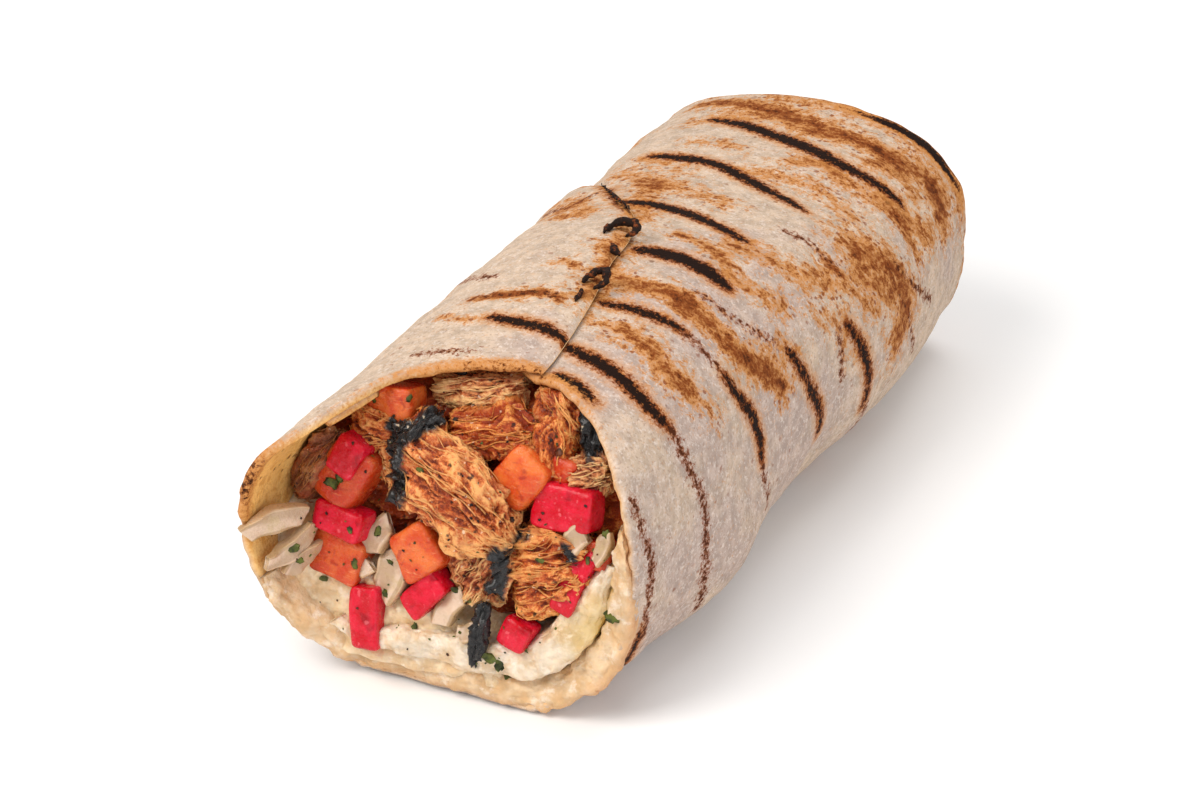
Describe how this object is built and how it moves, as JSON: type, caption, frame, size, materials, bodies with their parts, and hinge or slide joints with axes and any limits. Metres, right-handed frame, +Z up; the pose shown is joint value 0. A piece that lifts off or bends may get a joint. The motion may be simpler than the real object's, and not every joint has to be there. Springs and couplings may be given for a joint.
{
  "type": "vegan saj wrap",
  "caption": "Grilled flatbread wrap cut open at one end, with shredded plant-based filling, tomato, pickled turnip, cabbage, hummus and garlic sauce.",
  "frame": {"origin": "middle of the bounding box's bottom, under the roll on the table", "axes": "+Y along the roll from the open mouth (at -Y) to the pinched end, +X to the right as seen facing the mouth, +Z up"},
  "size_m": [0.0785, 0.1769, 0.0601],
  "materials": {
    "flatbread": "dry baked bread, pale with brown and black grill marks",
    "hummus": "thick smooth spread with a soft sheen",
    "garlic_sauce": "creamy white sauce",
    "shredded_filling": "roasted brown shreds with charred stripes and a little oil",
    "tomato": "wet cut tomato",
    "pickled_turnip": "wet translucent pink",
    "cabbage": "moist pale cabbage"
  },
  "bodies": {
    "root": {"cabbage_01": "cabbage", "cabbage_02": "cabbage", "cabbage_03": "cabbage", "cabbage_04": "cabbage", "cabbage_05": "cabbage", "cabbage_06": "cabbage", "cabbage_07": "cabbage", "cabbage_08": "cabbage", "cabbage_09": "cabbage", "cabbage_10": "cabbage", "filling_core": "shredded_filling", "flatbread": "flatbread", "garlic_sauce": "garlic_sauce", "hummus": "hummus", "meat_chunk_01": "shredded_filling", "meat_chunk_02": "shredded_filling", "meat_chunk_03": "shredded_filling", "meat_chunk_04": "shredded_filling", "meat_chunk_05": "shredded_filling", "meat_chunk_06": "shredded_filling", "meat_chunk_07": "shredded_filling", "meat_chunk_08": "shredded_filling", "meat_chunk_09": "shredded_filling", "meat_chunk_10": "shredded_filling", "meat_chunk_11": "shredded_filling", "meat_chunk_12": "shredded_filling", "meat_strip": "shredded_filling", "pickled_turnip_01": "pickled_turnip", "pickled_turnip_02": "pickled_turnip", "pickled_turnip_03": "pickled_turnip", "pickled_turnip_04": "pickled_turnip", "pickled_turnip_05": "pickled_turnip", "pickled_turnip_06": "pickled_turnip", "pickled_turnip_07": "pickled_turnip", "tomato_01": "tomato", "tomato_02": "tomato", "tomato_03": "tomato", "tomato_04": "tomato", "tomato_05": "tomato", "tomato_06": "tomato", "tomato_07": "tomato"}
  },
  "joints": []
}
